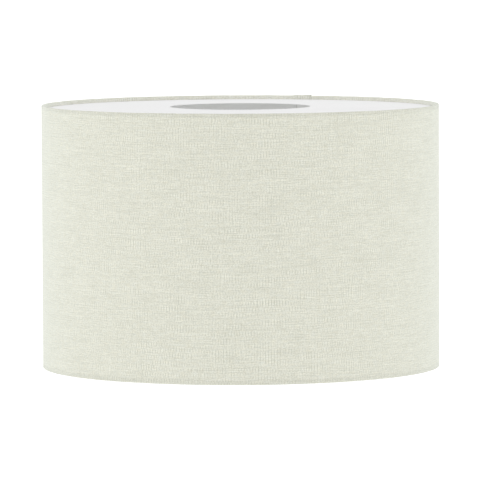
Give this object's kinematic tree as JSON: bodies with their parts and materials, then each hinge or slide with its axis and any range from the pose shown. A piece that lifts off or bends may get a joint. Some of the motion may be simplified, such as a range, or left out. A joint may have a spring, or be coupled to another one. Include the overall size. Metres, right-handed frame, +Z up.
{
  "type": "drum lamp shade",
  "caption": "Round drum lamp shade in off-white linen on a white lining, rolled over wire rings, with a pierced white top panel and a recessed fitter on wire arms.",
  "frame": {"origin": "middle of the circle on which the bottom rim stands", "axes": "+Z up along the drum's axis, towards the rim with the panel; the first fitter arm points along -Y, and the lapped seam is at the back, about a quarter of the way from +Y to +X"},
  "size_m": [0.4512, 0.4512, 0.2984],
  "materials": {
    "linen": "plain-weave off-white linen with slubs, matt",
    "white_lining": "satin white shade film",
    "white_panel": "satin white sheet",
    "coated_wire": "white powder coat on steel"
  },
  "bodies": {
    "root": {"fabric_cover": "linen", "backing_liner": "white_lining", "top_ring": "coated_wire", "bottom_ring": "coated_wire", "top_panel": "white_panel", "fitter_arm_1": "coated_wire", "fitter_arm_2": "coated_wire", "fitter_arm_3": "coated_wire", "fitter_ring": "coated_wire"}
  },
  "joints": []
}
